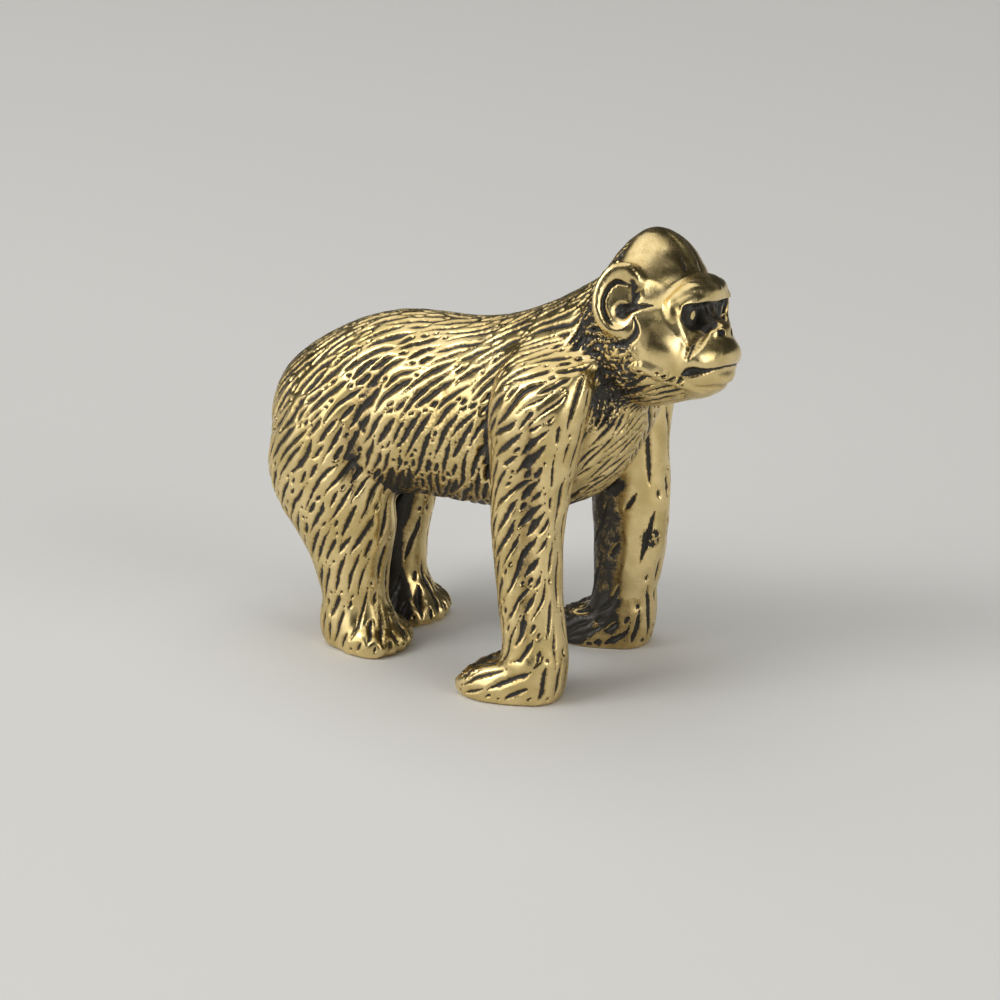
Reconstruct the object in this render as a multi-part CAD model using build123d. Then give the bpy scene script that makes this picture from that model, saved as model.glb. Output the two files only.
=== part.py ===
from build123d import *
import math
import os

# A small solid brass ape that walks on its knuckles and its soles.
# Sizes are in millimetres. +X is the way it faces, +Y its left side and +Z up.
# The origin is on the ground, under the middle of the figure.

# Heights that the body and the head are measured from: the middle line of the barrel, and the line that the head
# is cocked about
barrel_z = 17.6
head_z = 25.5
head_tilt = 10.0

# Torso, from the rump to the ribs: place along the back, depth under and height over the barrel's middle line, width
rump_x = -18.0
rump_drop = 1.4
rump_cap = 0.35
seat_x = -16.9
seat_drop = 5.4
seat_rise = 1.9
seat_width = 8.0
hip_x = -13.6
hip_drop = 7.2
hip_rise = 4.4
hip_width = 12.2
loin_x = -8.6
loin_drop = 6.7
loin_rise = 6.3
loin_width = 13.2
waist_x = -2.8
waist_drop = 6.4
waist_rise = 6.7
waist_width = 12.8
rib_x = 2.4
rib_drop = 6.2
rib_rise = 8.3
rib_width = 13.0
chest_x = 6.4
chest_drop = 5.0
chest_rise = 10.6
chest_width = 12.2
torso_widest = 0.46

# Neck, measured from the head's line
throat_x = 9.6
throat_drop = 9.7
throat_rise = 4.9
throat_width = 9.4
neck_end_x = 11.0
neck_end_drop = 5.9
neck_end_rise = 5.3
neck_end_width = 6.6

# Skull, from the nape to the face, measured from the head's line
nape_x = 8.0
nape_drop = 3.5
nape_rise = 3.3
nape_width = 8.0
ear_line_x = 9.4
ear_line_drop = 4.7
ear_line_rise = 6.1
ear_line_width = 9.8
crown_x = 10.9
crown_drop = 5.1
crown_rise = 7.1
crown_width = 10.4
temple_x = 13.5
temple_drop = 4.7
temple_rise = 4.9
temple_width = 9.8
face_x = 15.6
face_drop = 4.1
face_rise = 3.2
face_width = 7.4
face_round = 0.9
skull_widest = 0.42

# The left arm and the right hind leg are one step ahead, and the leading arm is braced and stouter
stride = 0.9
brace = 0.8

# Eyes, in sockets that are sunk in the face
eye_spacing = 3.7
eye_rise = 1.75
eye_radius = 0.6
eye_sink = 0.45
socket_lead = 0.45
socket_depth = 1.25
socket_width = 2.7
socket_height = 1.9

# Brow ridge: an arch over both eyes that leans back towards its ends
brow_lead = -0.35
brow_half_span = 3.25
brow_arch = 1.7
brow_height = 1.15
brow_depth = 1.9
brow_lean = 32.0
brow_sweep = 126.0

# Muzzle and lower jaw
mouth_drop = 1.65
muzzle_root_inset = 1.0
muzzle_root_rise = 1.5
muzzle_root_width = 7.2
muzzle_widest = 0.16
cheek_reach = 0.35
cheek_rise = 1.05
cheek_width = 6.5
lip_reach = 1.35
lip_rise = 0.4
lip_width = 5.0
muzzle_tip_reach = 2.0
muzzle_tip_drop = 0.75
muzzle_tip_round = 0.12
jaw_overlap = 0.4
jaw_root_drop = 4.2
jaw_root_width = 6.8
jaw_widest = 0.8
chin_reach = 0.3
chin_drop = 3.9
chin_width = 5.9
jaw_lip_reach = 1.1
jaw_lip_drop = 3.4
jaw_lip_width = 4.5
jaw_tip_reach = 1.8
jaw_tip_drop = 2.4

# Nose and nostrils
nose_lead = 0.75
nose_rise = 0.75
nose_width = 2.7
nose_radius = 0.8
nose_end_size = 0.45
nose_stations = (-1, -0.6, 0, 0.6, 1)
bridge_lead = -0.45
bridge_rise = 2.7
bridge_top_width = 1.5
bridge_foot_width = 2.0
bridge_depth = 1.7
nostril_spacing = 1.5
nostril_radius = 0.27
nostril_depth = 0.6

# Ears, which lean out at the foot and flare away from the head at the back. The left one is set further back
ear_x = 11.1
ear_rise = 2.7
ear_stand_off = 5.0
ear_height = 4.3
ear_width = 2.8
ear_flare = 27.0
ear_lean = 10.0
ear_rim_radius = 0.42
ear_plate = 0.5
ear_opening = 56.0
left_ear_setback = 0.9

# Arms, from the shoulder to the ground: centre, length along X and width along Y of each level section
arm_spread = 12.8
shoulder_x = 6.4
shoulder_z = 25.2
shoulder_inset = 3.9
shoulder_length = 5.0
shoulder_width = 3.4
deltoid_x = 6.2
deltoid_z = 21.4
deltoid_length = 7.2
deltoid_width = 5.6
biceps_x = 5.7
biceps_z = 17.2
biceps_length = 6.3
biceps_width = 5.2
elbow_x = 5.3
elbow_z = 13.0
elbow_length = 5.4
elbow_width = 5.0
forearm_x = 5.4
forearm_z = 8.5
forearm_length = 4.7
forearm_width = 4.6
wrist_x = 5.9
wrist_z = 4.0
wrist_length = 4.6
wrist_width = 4.6
palm_x = 5.75
palm_z = 1.3
palm_length = 4.6
palm_width = 4.9
sole_round = 0.35

# Fingers, folded back along the ground, and the thumb
finger_count = 4
finger_spacing = 1.2
finger_width = 1.5
finger_root_height = 2.9
finger_reach = 3.2
middle_finger_extra = 0.25
finger_tip_height = 1.9
finger_tip_length = 1.0
finger_sink = 0.2
thumb_length = 2.4
thumb_radius = 0.65
thumb_z = 1.5
thumb_drop = 0.5

# Hind legs, from the hip to the ground
leg_spread = 6.8
haunch_x = -11.5
haunch_z = 18.4
haunch_inset = 2.7
haunch_length = 6.6
haunch_width = 4.4
thigh_x = -12.6
thigh_z = 12.6
thigh_lead = 0.4
thigh_length = 9.7
thigh_width = 6.0
knee_x = -12.2
knee_z = 8.6
knee_length = 8.2
knee_width = 5.6
shin_x = -11.6
shin_z = 5.6
shin_length = 5.6
shin_width = 4.8
ankle_x = -11.3
ankle_z = 3.2
ankle_length = 4.9
ankle_width = 4.3
instep_x = -11.0
instep_z = 1.4
instep_length = 6.0
instep_width = 4.8

# Main locks of hair, gouged in rows that lie back along the barrel. Angles go up round it from its widest line
lock_angles = (-2.0, 28.0, 58.0)
lock_low_lean = 18.0
lock_high_lean = 52.0
lock_spacing = 1.9
lock_row_shift = 0.6
lock_start_x = -15.6
lock_end_x = 7.2
lock_lengths = (3.6, 2.8, 3.2)
lock_width = 0.55
lock_depth = 0.3
lock_clearance = 0.3

# Toes
toe_count = 5
toe_spacing = 0.98
toe_width = 1.2
toe_root_height = 2.2
toe_height = 1.7
toe_reach = 1.0
toe_tip_length = 0.6
toe_sink = 0.2


def egg_section(x, bottom, top, width, widest):
    """An upright oval across the body: two half ellipses that meet at its widest height."""
    middle = bottom + widest * (top - bottom)
    upper = EllipticalCenterArc((0, 0), width / 2, top - middle, 0, arc_size=180)
    lower = EllipticalCenterArc((0, 0), width / 2, middle - bottom, 180, arc_size=180)
    plane = Plane(origin=(x, 0, middle), x_dir=(0, 1, 0), z_dir=(1, 0, 0))
    return plane * make_face([upper, lower])


def upright_oval(x, y, z, width, height):
    """An upright ellipse that faces along X."""
    plane = Plane(origin=(x, y, z), x_dir=(0, 1, 0), z_dir=(1, 0, 0))
    return plane * Ellipse(width / 2, height / 2)


def level_oval(x, y, z, length, width):
    """A level ellipse across a limb."""
    return Pos(x, y, z) * Ellipse(length / 2, width / 2)


def above_ground(shape):
    """The part of a shape over the ground plane, with a flat sole."""
    return split(shape, bisect_by=Plane.XY, keep=Keep.TOP)


def main_solid(shape):
    """The largest solid that a cut leaves."""
    return max(shape.solids(), key=lambda solid: solid.volume)


def make_torso():
    """Rump, barrel, chest and neck in one loft."""
    def section(x, middle_z, drop, rise, width):
        return egg_section(x, middle_z - drop, middle_z + rise, width, torso_widest)

    rump_z = barrel_z - rump_drop
    return loft([
        Vertex(rump_x, 0, rump_z),
        section(rump_x + rump_cap, rump_z, seat_width / 4, seat_width / 4, seat_width / 2),
        section(seat_x, barrel_z, seat_drop, seat_rise, seat_width),
        section(hip_x, barrel_z, hip_drop, hip_rise, hip_width),
        section(loin_x, barrel_z, loin_drop, loin_rise, loin_width),
        section(waist_x, barrel_z, waist_drop, waist_rise, waist_width),
        section(rib_x, barrel_z, rib_drop, rib_rise, rib_width),
        section(chest_x, barrel_z, chest_drop, chest_rise, chest_width),
        section(throat_x, head_z, throat_drop, throat_rise, throat_width),
        section(neck_end_x, head_z, neck_end_drop, neck_end_rise, neck_end_width),
    ])


def make_gouge(length):
    """A cutter with a V edge that runs out at both ends."""
    middle = Plane.YZ * make_face(Polyline(
        (lock_width / 2, 0), (0, lock_depth), (-lock_width / 2, 0), (0, -lock_depth), close=True))
    return loft([Vertex(-length / 2, 0, 0), middle, Vertex(length / 2, 0, 0)], ruled=True)


def cut_locks(torso, neighbours):
    """The torso with the main locks of hair gouged where no neighbour covers it."""
    gouges = [make_gouge(length) for length in lock_lengths]
    cutters = []
    for side in (-1, 1):
        for row, angle in enumerate(lock_angles):
            out = Vector(0, side * math.cos(math.radians(angle)), math.sin(math.radians(angle)))
            height_share = (angle - lock_angles[0]) / (lock_angles[-1] - lock_angles[0])
            lean = math.radians(lock_low_lean + height_share * (lock_high_lean - lock_low_lean))
            x = lock_start_x + (row * lock_row_shift) % lock_spacing
            while x < lock_end_x:
                hits = torso.find_intersection_points(Axis((x, 0, barrel_z), out))
                place, normal = max(hits, key=lambda hit: hit[0].dot(out))
                down = Vector(-math.sin(lean), 0, -math.cos(lean))
                along = (down - normal * down.dot(normal)).normalized()
                gouge = gouges[len(cutters) % len(gouges)]
                reach = lock_lengths[len(cutters) % len(gouges)] / 2
                probes = [place + normal * lock_clearance + along * step for step in (-reach, 0, reach)]
                if not any(solid.is_inside(probe) for solid in neighbours for probe in probes):
                    cutters.append(Plane(origin=place, x_dir=along, z_dir=normal) * gouge)
                x += lock_spacing
    return main_solid(torso.cut(*cutters))


def make_skull():
    """A domed head with a rounded face and a socket for each eye."""
    def section(x, drop, rise, width):
        return egg_section(x, head_z - drop, head_z + rise, width, skull_widest)

    dome = loft([
        section(nape_x, nape_drop, nape_rise, nape_width),
        section(ear_line_x, ear_line_drop, ear_line_rise, ear_line_width),
        section(crown_x, crown_drop, crown_rise, crown_width),
        section(temple_x, temple_drop, temple_rise, temple_width),
        section(face_x, face_drop, face_rise, face_width),
    ])
    face = dome.faces().sort_by(Axis.X)[-1]
    skull = fillet(face.edges(), face_round)
    for side in (-1, 1):
        socket = scale(Sphere(1), by=(socket_depth, socket_width / 2, socket_height / 2))
        skull -= Pos(face_x + socket_lead, side * eye_spacing / 2, head_z + eye_rise) * socket
    return skull


def make_brow_ridge():
    """A deep bar that arches over both eyes and runs into the cheekbones."""
    plane = Plane(origin=(face_x + brow_lead, 0, head_z + eye_rise + brow_arch), x_dir=(0, 1, 0), z_dir=(1, 0, 0))
    leaning = Plane(plane * Rot(brow_lean, 0, 0))
    arch = EllipticalCenterArc((0, -brow_arch), brow_half_span, brow_arch, 90 - brow_sweep, arc_size=2 * brow_sweep)
    path = leaning * arch
    start = Plane(origin=path @ 0, x_dir=leaning.z_dir, z_dir=path % 0)
    return sweep(start * Ellipse(brow_depth / 2, brow_height / 2), path=path)


def make_muzzle():
    """A mound of upper lip and cheeks, down to the line of the mouth."""
    mouth_z = head_z - mouth_drop

    def section(reach, rise, width):
        return egg_section(face_x + reach, mouth_z, head_z + rise, width, muzzle_widest)

    tip_x = face_x + muzzle_tip_reach
    tip_z = head_z - muzzle_tip_drop
    return loft([
        section(-muzzle_root_inset, muzzle_root_rise, muzzle_root_width),
        section(cheek_reach, cheek_rise, cheek_width),
        section(lip_reach, lip_rise, lip_width),
        upright_oval(tip_x - muzzle_tip_round, 0, tip_z, lip_width / 2, tip_z - mouth_z),
        Vertex(tip_x, 0, tip_z),
    ])


def make_lower_jaw():
    """Lower lip and chin, under the line of the mouth."""
    top = head_z - mouth_drop + jaw_overlap

    def section(reach, drop, width):
        return egg_section(face_x + reach, head_z - drop, top, width, jaw_widest)

    return loft([
        section(-muzzle_root_inset, jaw_root_drop, jaw_root_width),
        section(chin_reach, chin_drop, chin_width),
        section(jaw_lip_reach, jaw_lip_drop, jaw_lip_width),
        Vertex(face_x + jaw_tip_reach, 0, head_z - jaw_tip_drop),
    ])


def make_nose():
    """A rounded pad with two nostrils that open forwards, under a bony bridge that runs up to the brow."""
    nose_z = head_z + nose_rise

    def section(share):
        radius = nose_radius * (1 - (1 - nose_end_size) * share ** 2)
        y = share * nose_width / 2
        plane = Plane(origin=(face_x + nose_lead, y, nose_z), x_dir=(1, 0, 0), z_dir=(0, 1, 0))
        return plane * Circle(radius)

    pad = loft([section(share) for share in nose_stations])
    front_x = face_x + nose_lead + nose_radius
    for side in (-1, 1):
        mouth = Plane(origin=(front_x, side * nostril_spacing / 2, nose_z), z_dir=(-1, 0, 0))
        pad -= mouth * Cylinder(nostril_radius, 2 * nostril_depth)
    bridge = loft([
        level_oval(face_x + bridge_lead, 0, head_z + bridge_rise, bridge_depth, bridge_top_width),
        level_oval(face_x + nose_lead / 2, 0, nose_z, bridge_depth, bridge_foot_width),
    ])
    return pad + bridge


def make_eye():
    """The right eyeball, at the bottom of its socket."""
    return Pos(face_x - eye_sink, -eye_spacing / 2, head_z + eye_rise) * Sphere(eye_radius)


def make_ear(setback):
    """A right ear: a rounded rim, open towards the face, round a thin plate that is set back in it."""
    rim_path = EllipticalCenterArc((0, 0), ear_width / 2, ear_height / 2, ear_opening / 2, arc_size=360 - ear_opening)
    rim_start = Plane(origin=rim_path @ 0, x_dir=(0, 0, 1), z_dir=rim_path % 0)
    rim = sweep(rim_start * Circle(ear_rim_radius), path=rim_path)
    plate = extrude(Ellipse(ear_width / 2, ear_height / 2), -ear_plate)
    upright = Rot(90, 0, 0) * (rim + plate)
    return Pos(ear_x - setback, -ear_stand_off, head_z + ear_rise) * Rot(-ear_lean, 0, ear_flare) * upright


def make_arm(lead, bulk):
    """The upper arm, forearm and palm of a right arm, from inside the shoulder to the ground."""
    y = -arm_spread / 2
    root_y = -(chest_width / 2 - shoulder_inset)
    elbow = level_oval(elbow_x + lead, y, elbow_z, elbow_length + bulk, elbow_width)
    wrist = level_oval(wrist_x, y, wrist_z, wrist_length, wrist_width)
    upper_arm = loft([
        level_oval(shoulder_x, root_y, shoulder_z, shoulder_length, shoulder_width),
        level_oval(deltoid_x, y, deltoid_z, deltoid_length, deltoid_width),
        level_oval(biceps_x + lead / 2, y, biceps_z, biceps_length, biceps_width),
        elbow,
    ])
    forearm = loft([
        elbow,
        level_oval(forearm_x + lead, y, forearm_z, forearm_length + bulk, forearm_width),
        wrist,
    ])
    palm = loft([
        wrist,
        level_oval(palm_x, y, palm_z, palm_length, palm_width),
        level_oval(palm_x, y, 0, palm_length - 2 * sole_round, palm_width - 2 * sole_round),
    ])
    return upper_arm, forearm, palm


def make_finger(y, extra):
    """One finger that lies backwards from the palm, flattened underneath."""
    tip_x = palm_x - palm_length / 2 - finger_reach - extra
    return loft([
        upright_oval(palm_x, y, finger_root_height / 2 - finger_sink, finger_width, finger_root_height),
        upright_oval(tip_x + finger_tip_length, y, finger_tip_height / 2 - finger_sink,
                     finger_width, finger_tip_height),
        Vertex(tip_x, y, finger_tip_height / 2 - finger_sink),
    ])


def make_thumb():
    """A short thumb that lies backwards along the inner side of the palm."""
    y = -arm_spread / 2 + palm_width / 2
    tip_x = palm_x - thumb_length
    return loft([
        upright_oval(palm_x, y - thumb_radius, thumb_z, 2 * thumb_radius, 2 * thumb_radius),
        upright_oval(tip_x + thumb_radius, y, thumb_z - thumb_drop, 2 * thumb_radius, 2 * thumb_radius),
        Vertex(tip_x, y, thumb_z - thumb_drop),
    ])


def make_hand(palm):
    """The right hand: palm, four folded fingers and the thumb."""
    hand = palm
    for number in range(finger_count):
        offset = number - (finger_count - 1) / 2
        extra = middle_finger_extra if abs(offset) < 1 else 0
        hand += make_finger(-arm_spread / 2 + offset * finger_spacing, extra)
    return above_ground(hand + make_thumb())


def make_leg(lead):
    """The thigh, shank and instep of a right hind leg, from inside the hip to the ground."""
    y = -leg_spread / 2
    root_y = -(hip_width / 2 - haunch_inset)
    knee = level_oval(knee_x + lead, y, knee_z, knee_length, knee_width)
    ankle = level_oval(ankle_x + lead, y, ankle_z, ankle_length, ankle_width)
    thigh = loft([
        level_oval(haunch_x, root_y, haunch_z, haunch_length, haunch_width),
        level_oval(thigh_x + lead / 2, y - thigh_lead, thigh_z, thigh_length, thigh_width),
        knee,
    ])
    shank = loft([
        knee,
        level_oval(shin_x + lead, y, shin_z, shin_length, shin_width),
        ankle,
    ])
    instep = loft([
        ankle,
        level_oval(instep_x + lead, y, instep_z, instep_length, instep_width),
        level_oval(instep_x + lead, y, 0, instep_length - 2 * sole_round, instep_width - 2 * sole_round),
    ])
    return thigh, shank, instep


def make_toe(x, y, extra):
    """One toe that reaches forwards from the instep, flattened underneath."""
    tip_x = x + instep_length / 2 + toe_reach + extra
    return loft([
        upright_oval(x, y, toe_root_height / 2 - toe_sink, toe_width, toe_root_height),
        upright_oval(tip_x - toe_tip_length, y, toe_height / 2 - toe_sink, toe_width, toe_height),
        Vertex(tip_x, y, toe_height / 2 - toe_sink),
    ])


def make_foot(instep, lead):
    """A right foot: instep and five toes on a flat sole."""
    foot = instep
    for number in range(toe_count):
        offset = number - (toe_count - 1) / 2
        shorter = toe_tip_length * (offset / 2) ** 2
        foot += make_toe(instep_x + lead, -leg_spread / 2 + offset * toe_spacing, -shorter)
    return above_ground(foot)


def make_head(torso):
    """Every piece of the head, cocked on the neck and seated on its neighbours."""
    tilt = Pos(0, 0, head_z) * Rot(-head_tilt, 0, 0) * Pos(0, 0, -head_z)
    skull = main_solid(tilt * make_skull() - torso)
    muzzle = main_solid(tilt * make_muzzle() - skull)
    lower_jaw = main_solid(tilt * make_lower_jaw() - skull - muzzle)
    brow_ridge = main_solid(tilt * make_brow_ridge() - skull)
    nose = main_solid(tilt * make_nose() - muzzle - skull - brow_ridge)
    head = {"skull": skull, "muzzle": muzzle, "lower_jaw": lower_jaw, "nose": nose, "brow_ridge": brow_ridge}
    right_eye = make_eye()
    for side, ear, eye in (
        ("right_", make_ear(0), right_eye),
        ("left_", mirror(make_ear(left_ear_setback), about=Plane.XZ), mirror(right_eye, about=Plane.XZ)),
    ):
        head[side + "ear"] = main_solid(tilt * ear - skull - torso)
        head[side + "eye"] = main_solid(tilt * eye - skull - brow_ridge - muzzle - nose)
    return head


def make_limbs(torso, skull, arm_lead, arm_bulk, leg_lead):
    """An arm and a hind leg of the right side, cut at their joints and seated on the torso."""
    upper_arm, forearm, palm = make_arm(arm_lead, arm_bulk)
    thigh, shank, instep = make_leg(leg_lead)
    return {
        "upper_arm": main_solid(upper_arm - torso - skull),
        "forearm": main_solid(forearm - torso),
        "hand": main_solid(make_hand(palm)),
        "thigh": main_solid(thigh - torso),
        "shank": main_solid(shank - torso),
        "foot": main_solid(make_foot(instep, leg_lead)),
    }


torso = make_torso()
nodes = {"torso": torso}
nodes.update(make_head(torso))
skull = nodes["skull"]
for name, solid in make_limbs(torso, skull, 0, 0, stride).items():
    nodes["right_" + name] = solid
for name, solid in make_limbs(torso, mirror(skull, about=Plane.XZ), stride, brace, 0).items():
    nodes["left_" + name] = mirror(solid, about=Plane.XZ)

neighbours = [solid for name, solid in nodes.items() if name.endswith(("arm", "thigh", "skull", "ear"))]
nodes["torso"] = cut_locks(torso, neighbours)

boxes = [solid.bounding_box() for solid in nodes.values()]
middle_x = (min(box.min.X for box in boxes) + max(box.max.X for box in boxes)) / 2
middle_y = (min(box.min.Y for box in boxes) + max(box.max.Y for box in boxes)) / 2
to_origin = Pos(-middle_x, -middle_y, 0)

os.makedirs("parts", exist_ok=True)
for name, solid in nodes.items():
    export_step(to_origin * solid, "parts/" + name + ".step")
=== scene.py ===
"""A small brass ape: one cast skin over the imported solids, engraved hair, black patina and a studio."""
import math
import random

import bmesh
import bpy
import numpy as np
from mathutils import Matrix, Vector
from mathutils.bvhtree import BVHTree
from mathutils.kdtree import KDTree


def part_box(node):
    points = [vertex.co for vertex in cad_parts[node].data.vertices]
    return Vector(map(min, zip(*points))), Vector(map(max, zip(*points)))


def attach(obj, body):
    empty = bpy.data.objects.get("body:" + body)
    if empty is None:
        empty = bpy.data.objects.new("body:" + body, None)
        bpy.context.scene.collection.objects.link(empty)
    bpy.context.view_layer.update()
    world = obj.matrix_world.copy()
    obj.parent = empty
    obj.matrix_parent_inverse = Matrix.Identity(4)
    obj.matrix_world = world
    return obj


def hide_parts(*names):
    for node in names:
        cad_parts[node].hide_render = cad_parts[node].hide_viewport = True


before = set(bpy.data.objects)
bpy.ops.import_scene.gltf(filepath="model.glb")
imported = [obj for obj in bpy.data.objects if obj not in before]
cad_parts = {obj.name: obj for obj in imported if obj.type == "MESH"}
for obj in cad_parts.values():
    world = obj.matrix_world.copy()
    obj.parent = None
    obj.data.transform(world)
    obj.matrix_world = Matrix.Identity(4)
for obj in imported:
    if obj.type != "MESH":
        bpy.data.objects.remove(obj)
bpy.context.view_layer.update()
node_names = sorted(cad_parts)

# Units: the skin is sculpted in millimetres and finished in metres.
mm_per_metre = 1000.0
metre_per_mm = 1 / mm_per_metre

# Skin.
coarse_voxel = 0.235
junction_reach = 1.3
junction_rounds = 22
head_junction_share = 0.12

# A piece's cap is a cone that sinks below the skin by this share of its radius.
cap_sink = 0.7

# Head frame: the head rolls about a line along X, and the part was centred after that.
head_tilt = math.radians(10)
head_tilt_z = 25.5
rump_x = -18.0
centring_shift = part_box("torso")[0].x * mm_per_metre - rump_x

# Hair: strokes are cut in passes from long to short, each in the room that the last one left.
hair_seed = 11
stroke_step = 0.09
stroke_depth = 0.16
valley_depth = 0.07
valley_reach = 0.45
stroke_passes = (
    {"length": (3.0, 5.5), "half_width": (0.10, 0.17), "gap": 0.40, "least": 2.4, "tries": 0.15},
    {"length": (1.5, 3.2), "half_width": (0.09, 0.15), "gap": 0.32, "least": 1.2, "tries": 0.3},
    {"length": (0.6, 1.5), "half_width": (0.08, 0.12), "gap": 0.26, "least": 0.5, "tries": 0.4},
    {"length": (0.1, 0.4), "half_width": (0.07, 0.10), "gap": 0.28, "least": 0.1, "tries": 0.2},
)

# Rough patches of the casting.
stipple_seed = 23
stipple_height = 0.16

# How much of the open air a vertex sees, for the painted shade: rays on a coarser skin, and the shares where
# the painted shade starts and is full.
sky_voxel = 0.5
sky_seed = 5
sky_rays = 40
sky_reach = 9.0
shade_start = 0.66
shade_full = 0.28

# Hollows: rounds of blurring and the depth under the blurred skin that counts as a full hollow.
lock_rounds = 10
lock_hollow = 0.05
valley_rounds = 60
valley_hollow = 0.16

# Patina and painted shade: how much each cause adds, where about a half turns black.
cast_lock_patina = 0.75
valley_patina = 0.7
shade_patina = 0.75
rough_patina = 0.5
grain_patina = 0.9
most_patina = 1.3

# Finishes, as linear colours.
olive_brass = (0.66, 0.51, 0.22, 1)
bright_brass = (0.86, 0.68, 0.34, 1)
tarnished_brass = (0.40, 0.27, 0.10, 1)
deep_soot = (0.016, 0.014, 0.011, 1)
grey_soot = (0.055, 0.048, 0.037, 1)
pale_floor = (0.72, 0.71, 0.68, 1)
dim_room = (0.035, 0.035, 0.032, 1)

# Furrows of the body on the side of positive Y: x, y, z and half width.
arm_furrow = (
    (7.2, 8.9, 22.0, 0.1), (6.6, 8.7, 16.0, 1.5),
    (6.3, 8.4, 10.0, 1.4), (6.6, 8.2, 3.5, 0.1),
)
haunch_furrow = (
    (-6.6, 4.6, 22.0, 0.2), (-7.9, 6.2, 19.2, 1.8),
    (-8.6, 6.6, 16.4, 1.8), (-8.6, 6.4, 12.6, 0.8),
)

# Eyes, in the head's own frame.
eye_x = 15.6
eye_y = 1.95
eye_z = 27.25

# Camera and lights.
light_distance = 0.6
view_azimuth = math.radians(30)
view_elevation = math.radians(19)
view_distance = 0.350
view_middle = Vector((0, 0, 0.016))
frame_width = 0.06944
sensor_width = 36.0
aim_right = -0.00035
aim_up = -0.00436

head_nodes = (
    "skull", "brow_ridge", "muzzle", "nose", "lower_jaw",
    "right_eye", "left_eye", "right_ear", "left_ear",
)


def bump(share):
    """A smooth hill: 1 in the middle and 0 from a share of 1 outwards."""
    return np.clip(1 - share ** 2, 0, 1) ** 2


def smooth_step(start, end, values):
    """0 before start, 1 after end, and an even S between them."""
    share = np.clip((values - start) / (end - start), 0, 1)
    return share * share * (3 - 2 * share)


class Skin:
    """The cast surface as arrays of places, normals and edges, in millimetres."""

    def __init__(self, mesh):
        self.mesh = mesh
        self.count = len(mesh.vertices)
        self.place = np.empty((self.count, 3))
        self.edges = np.empty((len(mesh.edges), 2), dtype=np.int32)
        flat = np.empty(self.count * 3)
        mesh.vertices.foreach_get("co", flat)
        self.place[:] = flat.reshape(-1, 3)
        flat_edges = np.empty(len(mesh.edges) * 2, dtype=np.int32)
        mesh.edges.foreach_get("vertices", flat_edges)
        self.edges[:] = flat_edges.reshape(-1, 2)
        self.degree = np.bincount(self.edges.ravel(), minlength=self.count).astype(float)
        self.refresh()

    def refresh(self):
        """Writes the places to the mesh and reads its normals."""
        self.mesh.vertices.foreach_set("co", self.place.ravel())
        self.mesh.update()
        flat = np.empty(self.count * 3)
        self.mesh.vertices.foreach_get("normal", flat)
        self.normal = flat.reshape(-1, 3)

    def neighbour_mean(self, values):
        """Each vertex's mean of its neighbours' values."""
        columns = values.reshape(self.count, -1)
        total = np.zeros_like(columns)
        first, second = self.edges[:, 0], self.edges[:, 1]
        for column in range(columns.shape[1]):
            total[:, column] += np.bincount(first, columns[second, column], self.count)
            total[:, column] += np.bincount(second, columns[first, column], self.count)
        return (total / self.degree[:, None]).reshape(values.shape)

    def soften(self, rounds, weight=1.0):
        """Moves each vertex halfway to its neighbours, by a weight, several times."""
        share = 0.5 * np.broadcast_to(weight, self.count)[:, None]
        for _ in range(rounds):
            self.place += share * (self.neighbour_mean(self.place) - self.place)
        self.refresh()

    def lift(self, height):
        """Moves each vertex along its normal."""
        self.place += self.normal * height[:, None]


def spread(skin, values, rounds):
    """Blurs values over the skin."""
    for _ in range(rounds):
        values = 0.5 * values + 0.5 * skin.neighbour_mean(values)
    return values


def node_shape(name):
    """A merged copy of a node's mesh, in millimetres."""
    shape = bmesh.new()
    shape.from_mesh(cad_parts[name].data)
    bmesh.ops.scale(shape, vec=(mm_per_metre,) * 3, verts=shape.verts)
    bmesh.ops.remove_doubles(shape, verts=shape.verts, dist=1e-4)
    return shape


def modified(mesh, kind, **settings):
    """A new mesh that one modifier makes from a mesh."""
    holder = bpy.data.objects.new("holder", mesh)
    bpy.context.scene.collection.objects.link(holder)
    modifier = holder.modifiers.new(kind, kind)
    for name, value in settings.items():
        setattr(modifier, name, value)
    bpy.context.view_layer.update()
    graph = bpy.context.evaluated_depsgraph_get()
    result = bpy.data.meshes.new_from_object(holder.evaluated_get(graph))
    bpy.data.objects.remove(holder)
    return result


def fused_skin():
    """One closed skin round all the solids, with each vertex's node and how near it is to a second node."""
    together = bmesh.new()
    trees = []
    boxes = []
    for name in node_names:
        shape = node_shape(name)
        trees.append(BVHTree.FromBMesh(shape))
        corners = np.array([vertex.co for vertex in shape.verts])
        boxes.append((corners.min(0) - junction_reach, corners.max(0) + junction_reach))
        part = bpy.data.meshes.new(name + "_copy")
        shape.to_mesh(part)
        together.from_mesh(part)
        shape.free()
    joined = bpy.data.meshes.new("joined")
    together.to_mesh(joined)
    together.free()
    skin = Skin(modified(joined, "REMESH", mode="VOXEL", voxel_size=coarse_voxel, adaptivity=0))
    nearest = np.full(skin.count, np.inf)
    second = np.full(skin.count, np.inf)
    label = np.zeros(skin.count, dtype=np.int32)
    for index, (tree, (low, high)) in enumerate(zip(trees, boxes)):
        inside = np.nonzero(np.all((skin.place > low) & (skin.place < high), axis=1))[0]
        for vertex in inside:
            gap = tree.find_nearest(Vector(skin.place[vertex]), 2 * junction_reach)[3]
            if gap is None:
                continue
            if gap < nearest[vertex]:
                second[vertex] = nearest[vertex]
                nearest[vertex] = gap
                label[vertex] = index
            elif gap < second[vertex]:
                second[vertex] = gap
    return skin, label, second


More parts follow.
